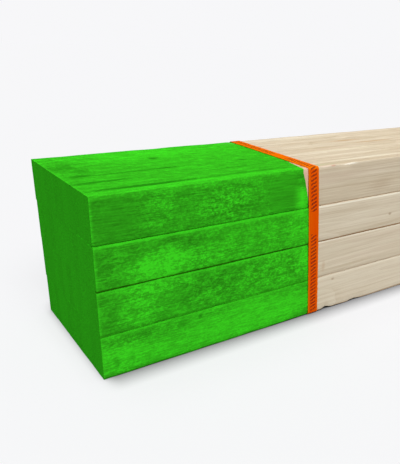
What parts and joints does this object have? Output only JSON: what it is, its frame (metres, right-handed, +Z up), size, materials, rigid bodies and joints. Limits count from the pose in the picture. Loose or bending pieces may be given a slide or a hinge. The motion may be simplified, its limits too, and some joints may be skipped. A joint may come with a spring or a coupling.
{
  "type": "bundle of survey lath",
  "caption": "Strapped bundle of sawn wooden survey laths lying flat, one end dipped in bright green marking paint, held by orange plastic straps.",
  "frame": {"origin": "on the floor, under the middle of the bundle", "axes": "+X along the laths, away from the painted end; +Y across the bundle, towards the side with the strap laps; +Z up"},
  "size_m": [1.2302, 0.1446, 0.1538],
  "materials": {
    "lath_wood": "sawn softwood, unfinished, one end dipped in green paint",
    "strap_plastic": "smooth orange plastic strapping"
  },
  "bodies": {
    "root": {"lath_row_1": "lath_wood", "lath_row_2": "lath_wood", "lath_row_3": "lath_wood", "lath_row_4": "lath_wood", "strap_painted_end": "strap_plastic", "strap_plain_end": "strap_plastic"}
  },
  "joints": []
}
